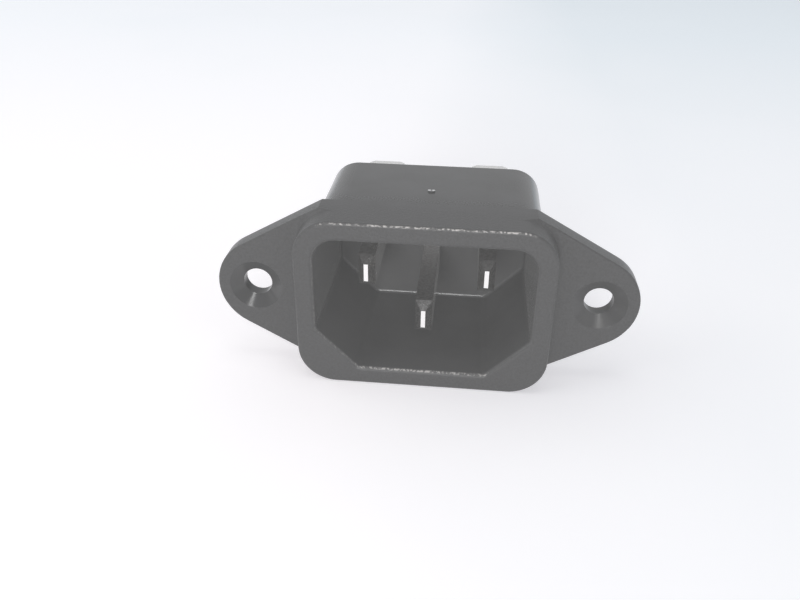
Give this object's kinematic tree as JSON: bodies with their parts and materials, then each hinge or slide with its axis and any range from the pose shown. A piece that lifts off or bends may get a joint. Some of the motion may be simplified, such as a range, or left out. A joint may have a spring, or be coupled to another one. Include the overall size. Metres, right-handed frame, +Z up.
{
  "type": "c14 panel inlet socket",
  "caption": "Male appliance inlet for a panel: black moulded shell with a keyed cavity, blade pins, two countersunk ears and push-on tabs behind.",
  "frame": {"origin": "midway between the two fixing screws, in the plane of the flange's rear face, which is the panel's front face", "axes": "+X to the right as the user sees the front, +Y back through the panel, +Z up; the cavity opens towards -Y"},
  "size_m": [0.049, 0.0274, 0.0208],
  "materials": {
    "housing_plastic": "fine spark-eroded grain, matt",
    "plated_brass": "bright nickel plate over brass"
  },
  "bodies": {
    "root": {"housing": "housing_plastic", "line_pin": "plated_brass", "neutral_pin": "plated_brass", "earth_pin": "plated_brass"}
  },
  "joints": []
}
